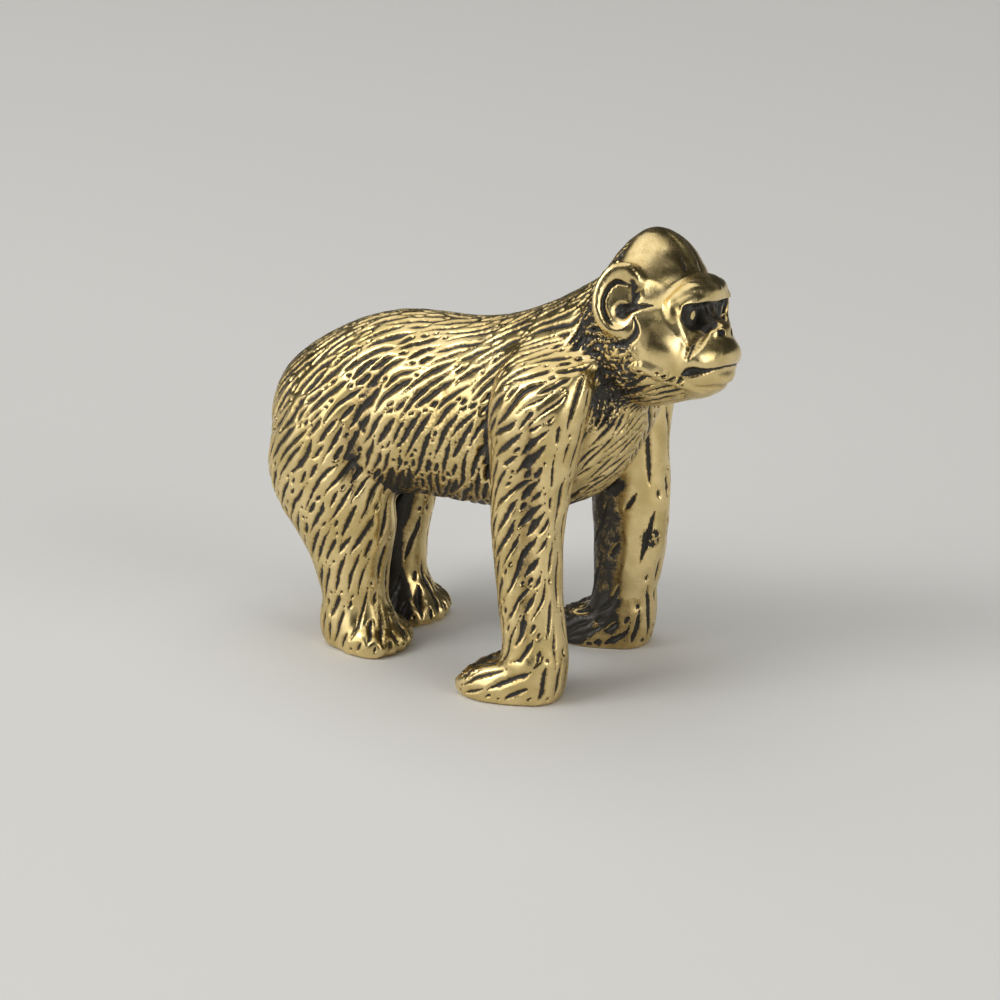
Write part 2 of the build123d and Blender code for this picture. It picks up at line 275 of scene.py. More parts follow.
def blend_junctions(skin, label, second):
    """Fillets where the masses meet, as a wax model has, finer on the head."""
    near = 1 - smooth_step(0, junction_reach, second)
    head = np.isin(label, [node_names.index(name) for name in head_nodes])
    skin.soften(2)
    skin.soften(junction_rounds, near * np.where(head, head_junction_share, 1.0))


def head_place(place):
    """Places in the head's own upright frame, before its tilt and the centring."""
    x = place[:, 0] - centring_shift
    y = place[:, 1]
    z = place[:, 2] - head_tilt_z
    turn, rise = math.cos(head_tilt), math.sin(head_tilt)
    return np.stack([x, turn * y - rise * z, rise * y + turn * z + head_tilt_z], axis=1)


def head_vector(vector):
    """A direction of the head's frame in the part's frame."""
    x, y, z = vector
    turn, rise = math.cos(head_tilt), math.sin(head_tilt)
    return np.array([x, turn * y + rise * z, -rise * y + turn * z])


def smooth_path(corners, steps=8):
    """A curve through a few points."""
    points = np.array(corners, dtype=float)
    ends = np.vstack([2 * points[0] - points[1], points, 2 * points[-1] - points[-2]])
    curve = []
    for number in range(1, len(ends) - 2):
        before, start, end, after = ends[number - 1:number + 3]
        for step in range(steps):
            t = step / steps
            curve.append(0.5 * (2 * start + (end - before) * t
                                + (2 * before - 5 * start + 4 * end - after) * t ** 2
                                + (3 * start - before - 3 * end + after) * t ** 3))
    curve.append(points[-1])
    return np.array(curve)


def path_share(place, path):
    """How near each place is to a path, 1 on it and 0 from the path's half width outwards, and the half width
    there as a share of the widest. Path points are x, y, z and half width."""
    share = np.zeros(len(place))
    fullness = np.zeros(len(place))
    reach = path[:, 3].max()
    low, high = path[:, :3].min(0) - reach, path[:, :3].max(0) + reach
    near = np.nonzero(np.all((place > low) & (place < high), axis=1))[0]
    points = place[near]
    for start, end in zip(path[:-1], path[1:]):
        run = end[:3] - start[:3]
        along = np.clip((points - start[:3]) @ run / max(run @ run, 1e-9), 0, 1)
        gap = np.linalg.norm(points - start[:3] - along[:, None] * run, axis=1)
        half_width = start[3] + along * (end[3] - start[3])
        closeness = 1 - gap / half_width
        better = closeness > share[near]
        share[near[better]] = closeness[better]
        fullness[near[better]] = half_width[better] / reach
    return share, fullness


def on_surface(place, corners):
    """A curve through a few points with their half widths, laid onto the skin."""
    path = smooth_path(corners)
    low, high = path[:, :3].min(0) - 2, path[:, :3].max(0) + 2
    zone = place[np.all((place > low) & (place < high), axis=1)]
    for point in path:
        point[:3] = zone[np.argmin(np.sum((zone - point[:3]) ** 2, axis=1))]
    return path


def mirrored(corners, side):
    """A line of the side of positive Y, or its mirror image where side is -1."""
    return [(x, side * y, z, half_width) for x, y, z, half_width in corners]


def carve(skin, place, corners, depth):
    """A groove along a curve, shallower where it is narrow, or a ridge where the depth is negative. Returns its
    share at each vertex."""
    share, fullness = path_share(place, on_surface(place, corners))
    skin.lift(-depth * bump(1 - share) * fullness)
    return share


def hill(place, centre, reach):
    """1 at a centre and 0 from its reach along each axis outwards."""
    return bump(np.minimum(np.linalg.norm((place - np.array(centre)) / np.array(reach), axis=1), 1))


def swell(skin, place, centre, reach, height):
    """A rounded swelling, or a hollow where the height is negative. Returns its share at each vertex."""
    share = hill(place, centre, reach)
    skin.lift(height * share)
    return share


def push(skin, place, centre, reach, vector):
    """Moves what is near a centre by a vector of the part's frame."""
    skin.place += hill(place, centre, reach)[:, None] * np.array(vector)


def sculpt_body(skin):
    """The large muscle forms."""
    place = skin.place.copy()
    armpit = ((2.6, 5.2, 23.0, 0.1), (2.6, 6.0, 20.0, 0.9), (2.4, 6.2, 15.5, 1.1), (2.6, 5.6, 12.5, 0.6))
    arm_ridge = ((8.6, 8.0, 21.5, 0.1), (7.9, 7.9, 15.0, 1.0), (7.8, 7.6, 8.0, 0.9), (8.0, 7.6, 3.5, 0.1))
    for side in (-1, 1):
        haunch = (-11.5, side * 5.5, 15.5)
        breast = (9.4, side * 3.0, 19.5)
        back_of_hand = (1.6, side * 6.8, 2.5)
        swell(skin, place, haunch, (4.5, 4.0, 4.5), 0.4)
        carve(skin, place, mirrored(haunch_furrow, side), 0.4)
        carve(skin, place, mirrored(armpit, side), 0.5)
        carve(skin, place, mirrored(arm_furrow, side), 0.6)
        carve(skin, place, mirrored(arm_ridge, side), -0.3)
        swell(skin, place, breast, (2.5, 2.6, 3.2), 0.35)
        swell(skin, place, back_of_hand, (1.6, 1.6, 0.9), -0.3)
    skin.refresh()


def sculpt_head(skin):
    """Sockets, cheeks, ears and lips: the main forms of the face. Returns how dark each vertex becomes."""
    place = head_place(skin.place)
    forehead = (13.6, 0.4, 30.6)
    swell(skin, place, forehead, (3.4, 4.2, 2.8), 0.5)
    for side in (-1, 1):
        whole_ear = (11.0, side * 5.1, 28.2)
        above_brow = (14.4, side * 2.2, 29.7)
        push(skin, place, whole_ear, (2.6, 1.5, 3.4), head_vector((0, 0, -0.6)))
        swell(skin, place, above_brow, (1.6, 2.2, 1.0), 0.2)
    skin.refresh()
    x, _, z = head_place(skin.place).T
    brow_top = smooth_step(28.5, 29.0, z) * smooth_step(30.8, 29.8, z) * smooth_step(12.6, 13.6, x)
    skin.soften(40, brow_top)
    place = head_place(skin.place)
    x, _, z = place.T
    dark = sink_sockets(skin, place)
    dark += 0.2 * smooth_step(29.2, 30.2, z) * smooth_step(9.5, 10.5, x)
    for side in (-1, 1):
        cheek_hollow = (13.4, side * 4.6, 25.6)
        cheek = (14.2, side * 4.3, 25.3)
        temple = (13.2, side * 4.5, 28.6)
        ear_hole = (11.5, side * 5.0, 27.3)
        dark += 0.2 * hill(place, cheek_hollow, (1.6, 1.6, 2.2))
        swell(skin, place, cheek, (1.9, 1.4, 1.8), 0.22)
        swell(skin, place, temple, (1.4, 1.6, 1.2), -0.25)
        dark += 1.3 * swell(skin, place, ear_hole, (0.8, 1.0, 0.8), -0.3)
    upper_lip = (17.3, 0, 24.9)
    lower_lip = (17.0, 0, 23.2)
    swell(skin, place, upper_lip, (1.3, 1.9, 1.1), 0.15)
    swell(skin, place, lower_lip, (1.2, 2.0, 0.6), 0.12)
    skin.refresh()
    return dark


def sink_sockets(skin, place):
    """Presses the sockets and the bridge of the nose back under the brow. Returns how dark each vertex becomes,
    with a painted highlight left bright on each eye."""
    x, y, z = place.T
    span = np.abs(y)
    ahead = smooth_step(13.6, 14.4, x)
    middle_y, middle_z = 1.9, 27.3
    across = np.abs((span - middle_y) / 1.5)
    above = np.maximum(z - middle_z, 0) / 0.9
    below = np.maximum(middle_z - z, 0) / 1.0
    from_middle = np.maximum(np.hypot(across, below), (across ** 5 + above ** 5) ** 0.2)
    socket = ahead * smooth_step(1.1, 0.85, from_middle)
    bridge = ahead * smooth_step(0.9, 0.5, span) * smooth_step(26.7, 27.1, z) * smooth_step(28.3, 28.0, z)
    from_eye = np.sqrt((x - eye_x) ** 2 + (span - eye_y) ** 2 + (z - eye_z) ** 2)
    ball = smooth_step(0.95, 0.6, from_eye)
    depth = np.maximum(socket * (0.5 - 0.3 * ball), 0.4 * bridge)
    skin.place -= np.outer(depth, head_vector((1, 0, 0)))
    # A painted highlight: a slit a little outward of and above each eye's middle is kept free of the socket's
    # dark.
    from_glint = np.hypot((span - eye_y - 0.2) / 0.6, z - eye_z - 0.1)
    glint = smooth_step(0.40, 0.26, from_glint)
    return np.maximum(1.3 * socket * (1 - glint), 0.6 * bridge)


def face_lines(skin):
    """The fine lines of the face. Returns how dark each vertex becomes."""
    place = head_place(skin.place)
    brow_edge = ((14.3, 3.3, 28.3, 0.4), (14.9, 2.4, 29.0, 0.6),
                 (15.8, 1.2, 29.2, 0.6), (16.2, 0, 29.1, 0.6))
    orbit_rim = ((14.3, 3.4, 28.0, 0.6), (14.6, 3.55, 27.2, 0.7),
                 (15.1, 3.4, 26.4, 0.6), (15.5, 3.1, 25.7, 0.35))
    nose_fold = ((16.1, 1.2, 26.45, 0.3), (16.0, 2.0, 26.0, 0.55),
                 (15.9, 2.6, 25.4, 0.6), (15.7, 3.05, 24.6, 0.3))
    mouth = ((15.3, 3.1, 23.5, 0.15), (15.8, 2.85, 23.6, 0.46), (16.4, 2.4, 23.75, 0.36),
             (17.0, 1.6, 23.95, 0.14), (17.4, 0.7, 24.0, 0.10), (17.5, 0, 24.0, 0.10))
    nostril = ((17.1, 0.9, 26.3, 0.3), (17.15, 0.7, 26.25, 0.3))
    ear_opening = ((11.6, 4.9, 27.4, 0.45), (12.4, 4.6, 27.6, 0.36), (13.3, 4.1, 27.8, 0.08))
    before_ear = ((11.9, 4.9, 29.3, 0.3), (12.2, 4.7, 28.6, 0.6), (12.1, 4.7, 27.7, 0.5))
    inside_rim = ((11.7, 4.9, 29.0, 0.1), (11.0, 5.2, 29.1, 0.3), (10.4, 5.4, 28.4, 0.3),
                  (10.2, 5.5, 27.5, 0.3), (10.4, 5.4, 26.7, 0.3), (10.9, 5.2, 26.1, 0.1))
    below_ear = ((11.0, 4.9, 25.0, 0.15), (12.0, 4.9, 25.2, 0.35),
                 (12.6, 4.8, 26.0, 0.35), (12.4, 4.8, 26.9, 0.1))
    jaw_ruff = ((11.3, 4.7, 23.0, 0.4), (13.3, 4.75, 23.6, 0.7),
                (15.0, 3.6, 22.9, 0.6), (16.4, 1.3, 22.0, 0.15))
    chin_fold = ((16.0, -2.1, 22.8, 0.15), (16.8, -1.1, 22.7, 0.35), (17.0, 0, 22.7, 0.35),
                 (16.8, 1.1, 22.7, 0.35), (16.0, 2.1, 22.8, 0.15))
    crest = ((11.4, -0.2, 32.6, 0.1), (12.8, 0, 31.6, 0.6),
             (14.0, 0.1, 30.6, 0.6), (15.3, 0.1, 29.8, 0.2))
    beside_crest = ((12.0, 0.6, 31.6, 0.1), (13.5, 0.7, 30.5, 0.35), (14.8, 0.8, 29.6, 0.1))
    forehead_smear = ((13.2, -1.0, 30.8, 0.2), (13.8, -1.1, 30.2, 0.4))
    crown_pit = ((10.0, -2.8, 31.0, 0.2), (9.8, -3.0, 30.7, 0.4), (9.6, -3.1, 30.4, 0.2))
    dark = np.zeros(skin.count)
    for side in (-1, 1):
        carve(skin, place, mirrored(brow_edge, side), -0.12)
        carve(skin, place, mirrored(orbit_rim, side), -0.18)
        # The fold beside the nose is darkened as well as cut: partly patina in the groove, partly painted
        # shade.
        dark += 0.4 * carve(skin, place, mirrored(nose_fold, side), 0.2)
        dark += 1.3 * carve(skin, place, mirrored(mouth, side), 0.25)
        dark += 2.2 * carve(skin, place, mirrored(nostril, side), 0.25)
        dark += 1.1 * carve(skin, place, mirrored(ear_opening, side), 0.2)
        dark += 0.9 * carve(skin, place, mirrored(before_ear, side), 0.2)
        dark += 0.9 * carve(skin, place, mirrored(inside_rim, side), 0.22)
        dark += 0.9 * carve(skin, place, mirrored(below_ear, side), 0.2)
        carve(skin, place, mirrored(jaw_ruff, side), -0.24)
    dark += 0.3 * carve(skin, place, chin_fold, 0.12)
    carve(skin, place, crest, -0.1)
    dark += 0.55 * carve(skin, place, beside_crest, 0.12)
    dark += 0.5 * carve(skin, place, forehead_smear, 0.06)
    dark += 1.4 * carve(skin, place, crown_pit, 0.25)
    skin.refresh()
    return dark


def hair_lean(place, normal, label):
    """How far the hair leans back from straight down, in degrees."""
    x, y, z = place.T
    height = np.clip((z - 11) / 14, 0, 1)
    lean = 14 + 30 * height + 30 * height ** 4
    lean += smooth_step(-6, -11, x) * 0.8 * (42 - lean)
    arms = np.isin(label, part_indices("upper_arm", "forearm", "hand"))
    arm_lean = 28 + 20 * np.clip((z - 6) / 16, 0, 1)
    arm_lean = np.where(z < 3.5, 60, arm_lean)
    arm_lean += smooth_step(0.45, 0.85, normal[:, 0]) * (6 - arm_lean)
    legs = np.isin(label, part_indices("thigh", "shank", "foot"))
    leg_lean = 18 + 22 * np.clip((z - 4) / 12, 0, 1)
    return np.where(arms, arm_lean, np.where(legs, leg_lean, lean))


def part_indices(*endings):
    """The numbers of the nodes whose names end in the given words."""
    return [index for index, name in enumerate(node_names) if name.endswith(endings)]


def hair_flow(skin, label):
    """The direction of the hair at each vertex, along the surface."""
    lean = np.radians(hair_lean(skin.place, skin.normal, label))
    side = np.sign(skin.place[:, 1])
    height = np.clip((skin.place[:, 2] - 11) / 14, 0, 1)
    flow = np.stack([-np.sin(lean), 0.25 * side * height, -np.cos(lean)], axis=1)
    chest = smooth_step(6.5, 9.0, skin.place[:, 0]) * np.isin(label, part_indices("torso"))
    fan = np.stack([np.full(skin.count, -0.2), 0.65 * side, np.full(skin.count, -0.75)], axis=1)
    flow += chest[:, None] * (fan - flow)
    flow -= skin.normal * np.sum(flow * skin.normal, axis=1)[:, None]
    length = np.linalg.norm(flow, axis=1)
    return flow / np.maximum(length, 1e-6)[:, None]


def hair_room(skin, label):
    """How far apart strokes stay at each vertex, as a share of the usual gap. Where it is infinite, no hair is
    cut."""
    y = skin.place[:, 1]
    inner = smooth_step(0.3, 0.8, -skin.normal[:, 1] * np.sign(y))
    limbs = np.isin(label, part_indices("arm", "thigh", "shank"))
    front = smooth_step(0.55, 0.9, skin.normal[:, 0])
    belly = smooth_step(16.0, 13.0, skin.place[:, 2])
    room = np.where(limbs, 1.1 + 3.0 * inner + 0.8 * front, 1.0 - 0.35 * belly)
    room = np.where(np.isin(label, part_indices("hand", "foot")), 1.6, room)
    head = head_place(skin.place)
    face = np.isin(label, part_indices("muzzle", "nose", "jaw", "eye", "ear", "brow_ridge"))
    skull = np.isin(label, part_indices("skull"))
    bald = skull & ~((head[:, 2] < 23.4) | (head[:, 0] < 10.2))
    sole = skin.place[:, 2] < 0.4
    return np.where(face | bald | sole, np.inf, room)


def skin_tree(skin):
    """A search tree of the skin's vertices."""
    tree = KDTree(skin.count)
    for index, point in enumerate(skin.place):
        tree.insert(point, index)
    tree.balance()
    return tree


def cut_hair(skin, tree, label, cast_groove):
    """Places the strokes of the hair. Returns how deep each vertex is in a stroke and in the soft valley round
    it."""
    draw = random.Random(hair_seed)
    flow = hair_flow(skin, label)
    room = hair_room(skin, label)
    hairy = [int(index) for index in np.nonzero(np.isfinite(room))[0]]
    taken = cast_groove > 0.5
    groove = np.zeros(skin.count)
    valley = np.zeros(skin.count)
    for kind in stroke_passes:
        for start in draw.sample(hairy, int(kind["tries"] * len(hairy))):
            if taken[start]:
                continue
            route = stroke_route(skin, tree, flow, room, taken, start, kind, draw)
            if len(route) * stroke_step >= kind["least"]:
                cut_stroke(tree, room, taken, groove, valley, route, kind, draw)
    return groove, valley


def stroke_route(skin, tree, flow, room, taken, start, kind, draw):
    """A wavering way from a vertex along the flow, until its length is used or another stroke is in the way."""
    length = draw.uniform(*kind["length"])
    turn = draw.gauss(0, 0.14)
    route = []
    vertex = start
    point = skin.place[start].copy()
    while len(route) * stroke_step < length:
        if taken[vertex] or not np.isfinite(room[vertex]):
            break
        route.append((point, vertex))
        along = flow[vertex]
        normal = skin.normal[vertex]
        across = np.cross(normal, along)
        turn = 0.9 * turn + draw.gauss(0, 0.06)
        point = point + stroke_step * (along + turn * across)
        vertex = tree.find(point)[1]
        point = point + np.dot(skin.place[vertex] - point, normal) * normal
    return route


def cut_stroke(tree, room, taken, groove, valley, route, kind, draw):
    """Marks the vertices under a stroke, in the valley round it and in the room that it keeps clear."""
    half_width = draw.uniform(*kind["half_width"])
    head_taper = draw.uniform(1.5, 5.0)
    tail_taper = draw.uniform(1.2, 3.0)
    for number, (point, vertex) in enumerate(route):
        share = (number + 0.5) / len(route)
        taper = min(1, head_taper * share ** 0.8, tail_taper * (1 - share) ** 0.8)
        width = half_width * taper * draw.uniform(0.75, 1.2)
        clear = width + kind["gap"] * room[vertex] * (0.45 + 0.55 * taper)
        reach = max(clear, valley_reach)
        for _, near, gap in tree.find_range(point, reach):
            if gap < clear:
                taken[near] = True
            if gap < 2 * width:
                groove[near] = max(groove[near], 1 - 0.5 * gap / width)
            valley[near] = max(valley[near], taper * (1 - gap / reach))


def stipple_zones(skin, label):
    """How rough the casting is at each vertex: behind and under the ears, down the neck, on the flank and the
    hands, and in a patch of pits on the left forearm."""
    head = head_place(skin.place)
    x, y, z = skin.place.T
    arms = np.isin(label, part_indices("arm", "hand"))
    ears = np.isin(label, part_indices("ear"))
    neck = smooth_step(7.0, 8.4, head[:, 0]) * smooth_step(2.4, 3.8, np.abs(y)) * smooth_step(18.5, 20.5, z)
    front = 9.9 + 2.6 * smooth_step(26.8, 24.6, head[:, 2])
    neck *= smooth_step(front + 0.8, front - 0.4, head[:, 0]) * smooth_step(30.8, 29.4, head[:, 2])
    flank = smooth_step(-6.5, -4.0, x) * smooth_step(3.0, 1.0, x) * smooth_step(12.5, 14.5, z)
    flank *= smooth_step(21.5, 19.0, z) * smooth_step(4.0, 5.5, np.abs(y))
    hands = np.isin(label, part_indices("hand")) * smooth_step(3.4, 2.2, x) * smooth_step(1.0, 1.8, z)
    pit_patch = (8.7, 5.3, 8.5)
    pits = smooth_step(1.1, 0.5, np.linalg.norm(skin.place - pit_patch, axis=1))
    return np.clip((neck + 0.35 * flank) * ~arms * ~ears + 0.8 * hands + pits, 0, 1)


def shade_from_sky(skin):
    """How much of the open air each vertex sees, from rays on a coarser copy of the skin."""
    coarser = Skin(modified(skin.mesh, "REMESH", mode="VOXEL", voxel_size=sky_voxel, adaptivity=0))
    tree = BVHTree.FromPolygons([tuple(point) for point in coarser.place],
                                [tuple(face.vertices) for face in coarser.mesh.polygons])
    draw = np.random.default_rng(sky_seed)
    rays = draw.normal(size=(sky_rays, 3))
    rays /= np.linalg.norm(rays, axis=1)[:, None]
    open_air = np.zeros(coarser.count)
    for vertex in range(coarser.count):
        normal = coarser.normal[vertex]
        start = Vector(coarser.place[vertex] + 0.1 * normal)
        total = 0.0
        seen = 0.0
        for ray in rays:
            facing = float(ray @ normal)
            if facing < 0.05:
                continue
            total += facing
            if tree.ray_cast(start, Vector(ray), sky_reach)[0] is None:
                seen += facing
        open_air[vertex] = seen / total
    open_air = spread(coarser, open_air, 2)
    lookup = KDTree(coarser.count)
    for index, point in enumerate(coarser.place):
        lookup.insert(point, index)
    lookup.balance()
    found = np.array([lookup.find(point)[1] for point in skin.place])
    return spread(skin, open_air[found], 12)


def unpolished_and_shaded_sides(skin, label):
    """The sides that polishing misses and where shade falls, painted dark as patina and as shade: the insides
    of the limbs, the belly, the folds before the thighs, the hollows of the hands and the furrows, from 0 to 1."""
    x, y, z = skin.place.T
    mirrored_place = np.abs(skin.place)
    thigh_fold = (5.4, 5.6, 12.6)
    hand_hollow = (1.9, 6.8, 2.4)
    inward = -skin.normal[:, 1] * np.sign(y)
    rearward = 0.85 * inward - 0.5 * skin.normal[:, 0]
    legs = np.isin(label, part_indices("thigh", "shank", "foot")) * smooth_step(0.35, 0.8, inward)
    arms = np.isin(label, part_indices("arm", "hand")) * smooth_step(0.5, 0.9, rearward)
    arms *= smooth_step(15, 12, z)
    belly = smooth_step(14.5, 11.5, z) * np.isin(label, part_indices("torso"))
    hands = np.isin(label, part_indices("hand")) * smooth_step(0.2, 0.7, inward)
    folds = (x < 0) * hill(mirrored_place, thigh_fold, (1.8, 2.2, 2.4))
    hollows = (x > 0) * hill(mirrored_place, hand_hollow, (1.7, 1.6, 1.0))
    furrows = np.zeros(skin.count)
    for side in (-1, 1):
        for furrow in (arm_furrow, haunch_furrow):
            furrows += path_share(skin.place, on_surface(skin.place, mirrored(furrow, side)))[0]
    hidden = 0.6 * legs + 0.75 * arms + 0.5 * (belly + hands) + 0.9 * (folds + hollows) + 0.35 * furrows
    return np.clip(hidden, 0, 1)


def hollowness(skin, rounds):
    """How far each vertex lies under the blurred surface, in millimetres."""
    smooth = skin.place
    for _ in range(rounds):
        smooth = 0.5 * smooth + 0.5 * skin.neighbour_mean(smooth)
    return np.sum((smooth - skin.place) * skin.normal, axis=1)


def refined(skin):
    """The skin with the face and the ears divided once more."""
    head = head_place(skin.place)
    face = head[:, 0] > 12.6
    face &= head[:, 2] > 20.8
    ears = (head[:, 0] > 9.0) & (np.abs(head[:, 1]) > 4.3) & (head[:, 2] > 25.0)
    chosen = face | ears
    shape = bmesh.new()
    shape.from_mesh(skin.mesh)
    edges = [edge for edge in shape.edges if all(chosen[vertex.index] for vertex in edge.verts)]
    bmesh.ops.subdivide_edges(shape, edges=edges, cuts=1, use_grid_fill=True)
    mesh = bpy.data.meshes.new("refined")
    shape.to_mesh(mesh)
    shape.free()
    finer = Skin(mesh)
    head = head_place(finer.place)
    finer.soften(2, (head[:, 0] > 9.0) & (head[:, 2] > 20.8))
    return finer


def build_skin():
    """The sculpted skin with its patina and painted shade, and the node that each vertex stands for."""
    coarse, label, second = fused_skin()
    blend_junctions(coarse, label, second)
    sculpt_body(coarse)
    coarse.soften(1)
    fine = refined(Skin(modified(coarse.mesh, "SUBSURF", levels=1, render_levels=1)))
    coarse_tree = skin_tree(coarse)
    fine_label = label[np.array([coarse_tree.find(point)[1] for point in fine.place])]
    dark = sculpt_head(fine)
    dark = np.clip(dark + face_lines(fine), 0, 1)
    open_air = shade_from_sky(fine)
    cast_groove = np.clip(hollowness(fine, lock_rounds) / lock_hollow, 0, 1)
    cast_groove *= np.isin(fine_label, part_indices("torso"))
    valleys = np.clip(hollowness(fine, valley_rounds) / valley_hollow, 0, 1)
    tree = skin_tree(fine)
    groove, valley = cut_hair(fine, tree, fine_label, cast_groove)
    rough = stipple_zones(fine, fine_label)
    grain = spread(fine, np.random.default_rng(stipple_seed).uniform(-1, 1, fine.count), 1)
    fine.lift(-stroke_depth * bump(1 - groove) * (groove > 0) - valley_depth * spread(fine, valley, 3))
    fine.lift(stipple_height * rough * grain)
    fine.refresh()
    # Painted shade, partly patina where polishing misses: darker where little open air is seen and on the
    # hidden sides.
    shade = smooth_step(shade_start, shade_full, open_air) + unpolished_and_shaded_sides(fine, fine_label)
    patina = np.maximum.reduce([groove, dark, cast_lock_patina * cast_groove])
    patina += valley_patina * valleys + shade_patina * shade + rough * (rough_patina - grain_patina * grain)
    return fine, fine_label, np.clip(patina, 0, most_patina)


def brass_material():
    """Polished brass with black patina where the skin's patina attribute is high. The attribute also holds
    painted shade, and a painted highlight on each eye where it is kept low.
    """
    material = bpy.data.materials.new("cast_brass")
    material.use_nodes = True
    nodes = material.node_tree.nodes
    links = material.node_tree.links
    shader = nodes["Principled BSDF"]
    patina = nodes.new("ShaderNodeAttribute")
    patina.attribute_name = "patina"
    coordinates = nodes.new("ShaderNodeTexCoord")

    def noise(scale, detail):
        texture = nodes.new("ShaderNodeTexNoise")
        texture.inputs["Scale"].default_value = scale
        texture.inputs["Detail"].default_value = detail
        links.new(coordinates.outputs["Object"], texture.inputs["Vector"])
        return texture.outputs["Fac"]

    def ranged(value, start, end, low, high):
        node = nodes.new("ShaderNodeMapRange")
        node.interpolation_type = "SMOOTHSTEP"
        links.new(value, node.inputs["Value"])
        node.inputs["From Min"].default_value = start
        node.inputs["From Max"].default_value = end
        node.inputs["To Min"].default_value = low
        node.inputs["To Max"].default_value = high
        return node.outputs["Result"]

    def maths(operation, first, second):
        node = nodes.new("ShaderNodeMath")
        node.operation = operation
        for socket, value in zip(node.inputs, (first, second)):
            if isinstance(value, (int, float)):
                socket.default_value = value
            else:
                links.new(value, socket)
        return node.outputs[0]

    def mixed(factor, first, second):
        node = nodes.new("ShaderNodeMix")
        node.data_type = "RGBA"
        links.new(factor, node.inputs["Factor"])
        for socket, value in ((node.inputs["A"], first), (node.inputs["B"], second)):
            if isinstance(value, tuple):
                socket.default_value = value
            else:
                links.new(value, socket)
        return node.outputs["Result"]

    ragged = maths("ADD", maths("MULTIPLY", noise(7000, 2), 0.3), maths("MULTIPLY", noise(1600, 2), 0.4))
    level = maths("ADD", patina.outputs["Fac"], maths("SUBTRACT", ragged, 0.35))
    black = ranged(level, 0.40, 0.58, 0, 1)
    tarnish = ranged(level, 0.05, 0.45, 0, 0.75)
    tone = ranged(noise(420, 2), 0.35, 0.65, 0, 1)
    brass = mixed(tone, olive_brass, bright_brass)
    brass = mixed(tarnish, brass, tarnished_brass)
    soot = mixed(noise(5200, 2), deep_soot, grey_soot)
    links.new(mixed(black, brass, soot), shader.inputs["Base Color"])
    links.new(ranged(black, 0, 1, 1.0, 0.35), shader.inputs["Metallic"])
    polish = ranged(noise(900, 3), 0.3, 0.7, 0.22, 0.34)
    dull = ranged(noise(6000, 2), 0.35, 0.65, 0.28, 0.55)
    rough = nodes.new("ShaderNodeMix")
    links.new(black, rough.inputs["Factor"])
    links.new(polish, rough.inputs["A"])
    links.new(dull, rough.inputs["B"])
    links.new(rough.outputs["Result"], shader.inputs["Roughness"])
    grain = nodes.new("ShaderNodeBump")
    grain.inputs["Strength"].default_value = 0.25
    grain.inputs["Distance"].default_value = 0.00003
    height = maths("ADD", noise(9000, 3), noise(1800, 2))
    links.new(height, grain.inputs["Height"])
    links.new(grain.outputs["Normal"], shader.inputs["Normal"])
    return material


def split_pieces(skin, label, patina, material):
    """Cuts the skin into one closed piece for each node, with the normals of the whole skin."""
    mesh = skin.mesh
    mesh.materials.clear()
    for name in node_names:
        mesh.materials.append(bpy.data.materials.new("label_" + name))
    corner_start = np.empty(len(mesh.polygons), dtype=np.int32)
    mesh.polygons.foreach_get("loop_start", corner_start)
    corner_vertex = np.empty(len(mesh.loops), dtype=np.int32)
    mesh.loops.foreach_get("vertex_index", corner_vertex)
    mesh.polygons.foreach_set("material_index", label[corner_vertex[corner_start]])
    mesh.attributes.new("patina", "FLOAT", "POINT").data.foreach_set("value", patina)
    kept = mesh.attributes.new("skin_normal", "FLOAT_VECTOR", "POINT")
    kept.data.foreach_set("vector", skin.normal.ravel())
    whole = bpy.data.objects.new("cast", mesh)
    bpy.context.scene.collection.objects.link(whole)
    for other in bpy.context.selected_objects:
        other.select_set(False)
    whole.select_set(True)
    bpy.context.view_layer.objects.active = whole
    bpy.ops.object.mode_set(mode="EDIT")
    bpy.ops.mesh.separate(type="MATERIAL")
    bpy.ops.object.mode_set(mode="OBJECT")
    for piece in list(bpy.context.selected_objects):
        name = piece.data.materials[0].name.removeprefix("label_")
        close_piece(piece.data)
        piece.name = "cast_" + name
        piece.data.name = "cast_" + name
        piece.data.materials.clear()
        piece.data.materials.append(material)
        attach(piece, "root")
        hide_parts(name)


def close_piece(mesh):
    """Caps a piece where it was cut, scales it to metres and gives it the whole skin's normals."""
    shape = bmesh.new()
    shape.from_mesh(mesh)
    cap_layer = shape.faces.layers.int.new("cap")
    normal_layer = shape.verts.layers.float_vector["skin_normal"]
    edges = [edge for edge in shape.edges if edge.is_boundary]
    caps = bmesh.ops.holes_fill(shape, edges=edges, sides=0)["faces"]
    sunk = []
    for cap in caps:
        middle = cap.calc_center_median()
        outward = sum((vertex[normal_layer] for vertex in cap.verts), Vector()) / len(cap.verts)
        radius = sum((vertex.co - middle).length for vertex in cap.verts) / len(cap.verts)
        sunk.append(middle - cap_sink * radius * outward)
    poked = bmesh.ops.poke(shape, faces=caps)
    fans = poked["faces"]
    for vertex, place in zip(poked["verts"], sunk):
        vertex.co = place
    for face in fans:
        face[cap_layer] = 1
    turned = [face for face in fans if not all(edge.is_contiguous for edge in face.edges)]
    bmesh.ops.reverse_faces(shape, faces=turned)
    bmesh.ops.scale(shape, vec=(metre_per_mm,) * 3, verts=shape.verts)
    shape.to_mesh(mesh)
    shape.free()
    mesh.shade_smooth()
    smooth = np.empty(len(mesh.vertices) * 3)
    mesh.attributes["skin_normal"].data.foreach_get("vector", smooth)
    smooth = smooth.reshape(-1, 3)
    corner = np.empty(len(mesh.loops), dtype=np.int32)
    mesh.loops.foreach_get("vertex_index", corner)
    normals = smooth[corner]
    for face in mesh.polygons:
        if mesh.attributes["cap"].data[face.index].value:
            for loop in face.loop_indices:
                normals[loop] = face.normal
    mesh.normals_split_custom_set([tuple(normal) for normal in normals])
    mesh.attributes.remove(mesh.attributes["skin_normal"])


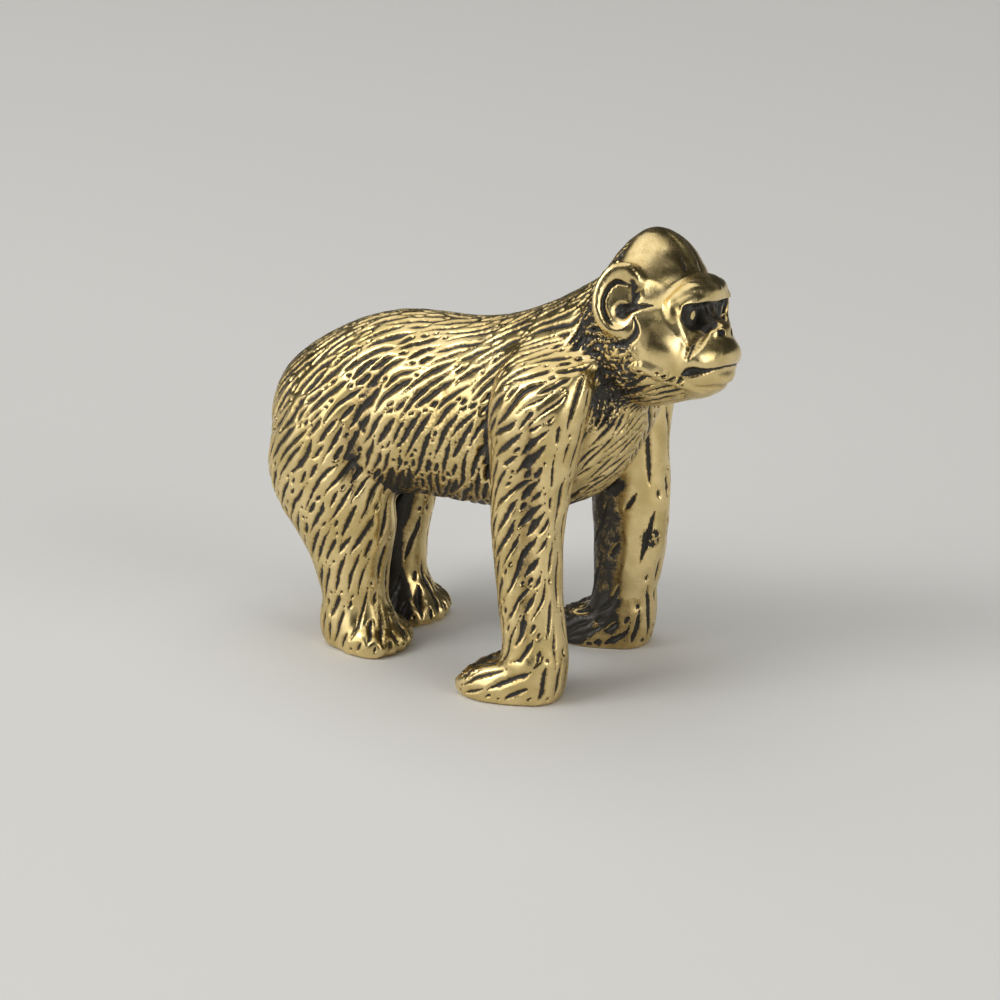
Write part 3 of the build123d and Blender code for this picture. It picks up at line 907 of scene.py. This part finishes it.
def add_floor():
    """A plain pale floor."""
    shape = bmesh.new()
    bmesh.ops.create_grid(shape, x_segments=1, y_segments=1, size=1.5)
    mesh = bpy.data.meshes.new("floor")
    shape.to_mesh(mesh)
    shape.free()
    floor = bpy.data.objects.new("floor", mesh)
    bpy.context.scene.collection.objects.link(floor)
    material = bpy.data.materials.new("pale_floor")
    material.use_nodes = True
    shader = material.node_tree.nodes["Principled BSDF"]
    shader.inputs["Base Color"].default_value = pale_floor
    shader.inputs["Roughness"].default_value = 0.7
    mesh.materials.append(material)


def view_axes():
    """The camera's right, up and back directions."""
    turn, rise = view_azimuth, view_elevation
    right = Vector((math.cos(turn), math.sin(turn), 0))
    up = Vector((-math.sin(turn) * math.sin(rise), math.cos(turn) * math.sin(rise), math.cos(rise)))
    return right, up, right.cross(up)


def add_camera():
    """A long lens at the photograph's angle."""
    right, up, back = view_axes()
    data = bpy.data.cameras.new("camera")
    data.sensor_width = sensor_width
    data.lens = sensor_width * view_distance / frame_width
    data.clip_start = 0.01
    camera = bpy.data.objects.new("camera", data)
    bpy.context.scene.collection.objects.link(camera)
    camera.location = view_middle + view_distance * back + aim_right * right + aim_up * up
    camera.rotation_euler = back.to_track_quat("Z", "Y").to_euler()
    bpy.context.scene.camera = camera


def add_light(name, direction, width, height, power):
    """A soft area light that faces the figure."""
    data = bpy.data.lights.new(name, "AREA")
    data.shape = "RECTANGLE"
    data.size = width
    data.size_y = height
    data.energy = power
    light = bpy.data.objects.new(name, data)
    bpy.context.scene.collection.objects.link(light)
    towards = Vector(direction).normalized()
    light.location = view_middle + light_distance * towards
    light.rotation_euler = towards.to_track_quat("Z", "Y").to_euler()


def add_lights():
    """A broad light overhead, a small bright one, one on each side and a dim room."""
    add_light("overhead", (-0.2, 0.0, 1.0), width=1.0, height=0.9, power=3.4)
    add_light("key", (-0.5, -0.75, 0.8), width=0.24, height=0.24, power=1.0)
    add_light("left_side", (-0.65, -0.80, 0.20), width=0.60, height=0.40, power=1.3)
    add_light("right_side", (0.95, -0.20, 0.25), width=0.35, height=0.50, power=1.5)
    world = bpy.data.worlds.new("room")
    world.use_nodes = True
    world.node_tree.nodes["Background"].inputs["Color"].default_value = dim_room
    bpy.context.scene.world = world
    bpy.context.scene.view_settings.view_transform = "Standard"


cast_skin, cast_label, cast_patina_and_shade = build_skin()
split_pieces(cast_skin, cast_label, cast_patina_and_shade, brass_material())
add_floor()
add_camera()
add_lights()
